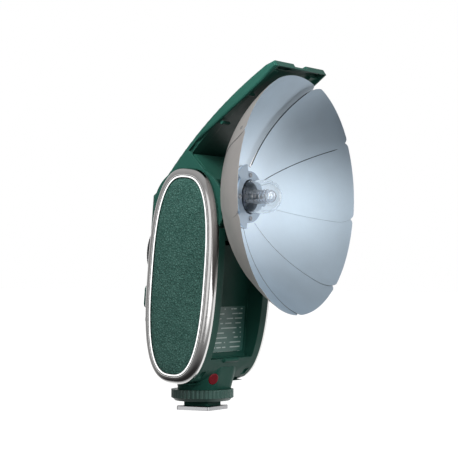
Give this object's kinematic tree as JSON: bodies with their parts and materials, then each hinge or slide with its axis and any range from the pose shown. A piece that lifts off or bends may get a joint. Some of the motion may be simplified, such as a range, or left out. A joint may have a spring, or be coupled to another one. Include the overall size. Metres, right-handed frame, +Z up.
{
  "type": "speedlight flash",
  "caption": "Folding-reflector speedlight: upright body with oval leather side panels, tilting hood, fan of nested bowl blades around a glass lamp, and a hot-shoe foot with lock ring.",
  "frame": {"origin": "centre of the foot plate's bottom face", "axes": "+Z up out of the camera's shoe, the flash points along -Y, the tilt axis runs along X"},
  "size_m": [0.1124, 0.0793, 0.1638],
  "materials": {
    "leather_green": "pebbled, glued over the side plates",
    "green_shell": "fine moulded texture, grey green",
    "green_hood": "satin, grey green",
    "silver_frame": "metallic silver lacquer",
    "bright_trim": "bright",
    "dish_metal": "polished inside, brushed outside",
    "hub_metal": "satin",
    "steel": "brushed",
    "black_plastic": "fine matt texture",
    "black_metal": "satin black",
    "contact_brass": "polished",
    "clear_glass": "clear, polished",
    "tube_glass": "clear quartz",
    "red_window": "dark red, polished",
    "amber_light": "amber lens",
    "label_grey": "matt film",
    "port_rubber": "soft matt",
    "button_grey": "satin",
    "board_green": "circuit board",
    "cell_wrap": "shrink film",
    "bush_bronze": "sintered bronze"
  },
  "bodies": {
    "body": {"front_shell": "green_shell", "back_shell": "green_shell", "neck": "green_shell", "left_frame": "silver_frame", "right_frame": "silver_frame", "left_trim": "bright_trim", "right_trim": "bright_trim", "left_leather": "leather_green", "right_leather": "leather_green", "left_side_plate": "black_plastic", "right_side_plate": "black_plastic", "label_plate": "label_grey", "sensor_window": "red_window", "slave_sensor": "black_plastic", "foot_plate": "steel", "foot_pedestal": "black_plastic", "foot_contact": "contact_brass", "battery": "cell_wrap", "main_board": "board_green", "flash_capacitor": "black_plastic", "trigger_coil": "cell_wrap", "dial_encoder": "black_plastic", "ready_light": "amber_light", "charge_port": "steel", "sync_jack": "black_plastic", "case_screws": "steel", "left_bush": "bush_bronze", "right_bush": "bush_bronze"},
    "lock_ring": {"lock_ring": "black_metal"},
    "lock_pin": {"lock_pin": "steel"},
    "dial": {"dial": "black_plastic", "dial_insert": "button_grey"},
    "mode_switch": {"mode_switch": "black_plastic"},
    "test_button": {"test_button": "button_grey"},
    "port_cover": {"port_cover": "port_rubber"},
    "head": {"hood": "green_hood", "lamp_base": "black_plastic", "tilt_shaft": "steel", "hub_sleeve": "hub_metal", "wave_washer": "steel", "hub_plate": "hub_metal", "hub_screws": "steel", "lamp_glass": "clear_glass", "flash_tube": "tube_glass", "trigger_wire": "steel", "lamp_socket": "black_plastic", "blade_1": "dish_metal"},
    "blade_2": {"blade_2": "dish_metal", "blade_catches": "steel"},
    "blade_3": {"blade_3": "dish_metal"},
    "blade_4": {"blade_4": "dish_metal"},
    "blade_5": {"blade_5": "dish_metal"},
    "blade_6": {"blade_6": "dish_metal"},
    "blade_7": {"blade_7": "dish_metal"},
    "blade_8": {"blade_8": "dish_metal"},
    "blade_9": {"blade_9": "dish_metal"}
  },
  "joints": [
    {"name": "head_tilt", "type": "hinge", "parent": "body", "child": "head", "pos_m": [0, -0.00739, 0.09674], "axis": [1, 0, 0], "range_deg": [-12, 5]},
    {"name": "dial_turn", "type": "hinge", "parent": "body", "child": "dial", "pos_m": [0, 0.01715, 0.07598], "axis": [0, 0.9964, 0.0844], "continuous": true},
    {"name": "mode_slide", "type": "slide", "parent": "body", "child": "mode_switch", "axis": [1, 0, 0], "range_m": [-0.0025, 0.0025]},
    {"name": "test_press", "type": "slide", "parent": "body", "child": "test_button", "axis": [0, -0.9964, -0.0844], "range_m": [0, 0.0006], "stiffness_N_per_m": 800},
    {"name": "port_open", "type": "hinge", "parent": "body", "child": "port_cover", "pos_m": [0, 0.01733, 0.03465], "axis": [-1, 0, 0], "range_deg": [0, 90]},
    {"name": "lock_ring_turn", "type": "hinge", "parent": "body", "child": "lock_ring", "pos_m": [0, 0, 0.006], "axis": [0, 0, -1], "range_deg": [0, 90]},
    {"name": "lock_pin_drop", "type": "slide", "parent": "body", "child": "lock_pin", "axis": [0, 0, -1], "range_m": [0, 0.0012]},
    {"name": "fan_9", "type": "hinge", "parent": "head", "child": "blade_9", "pos_m": [0, -0.0206, 0.1023], "axis": [0, 1, 0], "range_deg": [0, 320]},
    {"name": "fan_8", "type": "hinge", "parent": "head", "child": "blade_8", "pos_m": [0, -0.0206, 0.1023], "axis": [0, 1, 0], "range_deg": [0, 280]},
    {"name": "fan_7", "type": "hinge", "parent": "head", "child": "blade_7", "pos_m": [0, -0.0206, 0.1023], "axis": [0, 1, 0], "range_deg": [0, 240]},
    {"name": "fan_6", "type": "hinge", "parent": "head", "child": "blade_6", "pos_m": [0, -0.0206, 0.1023], "axis": [0, 1, 0], "range_deg": [0, 200]},
    {"name": "fan_5", "type": "hinge", "parent": "head", "child": "blade_5", "pos_m": [0, -0.0206, 0.1023], "axis": [0, 1, 0], "range_deg": [0, 160]},
    {"name": "fan_4", "type": "hinge", "parent": "head", "child": "blade_4", "pos_m": [0, -0.0206, 0.1023], "axis": [0, 1, 0], "range_deg": [0, 120]},
    {"name": "fan_3", "type": "hinge", "parent": "head", "child": "blade_3", "pos_m": [0, -0.0206, 0.1023], "axis": [0, 1, 0], "range_deg": [0, 80]},
    {"name": "fan_2", "type": "hinge", "parent": "head", "child": "blade_2", "pos_m": [0, -0.0206, 0.1023], "axis": [0, 1, 0], "range_deg": [0, 40]}
  ],
  "couplings": [
    {"joint": "lock_pin_drop", "follows": "lock_ring_turn", "m_per_rad": 0.00076394},
    {"joint": "fan_8", "follows": "fan_9", "ratio": 0.875},
    {"joint": "fan_7", "follows": "fan_9", "ratio": 0.75},
    {"joint": "fan_6", "follows": "fan_9", "ratio": 0.625},
    {"joint": "fan_5", "follows": "fan_9", "ratio": 0.5},
    {"joint": "fan_4", "follows": "fan_9", "ratio": 0.375},
    {"joint": "fan_3", "follows": "fan_9", "ratio": 0.25},
    {"joint": "fan_2", "follows": "fan_9", "ratio": 0.125}
  ]
}
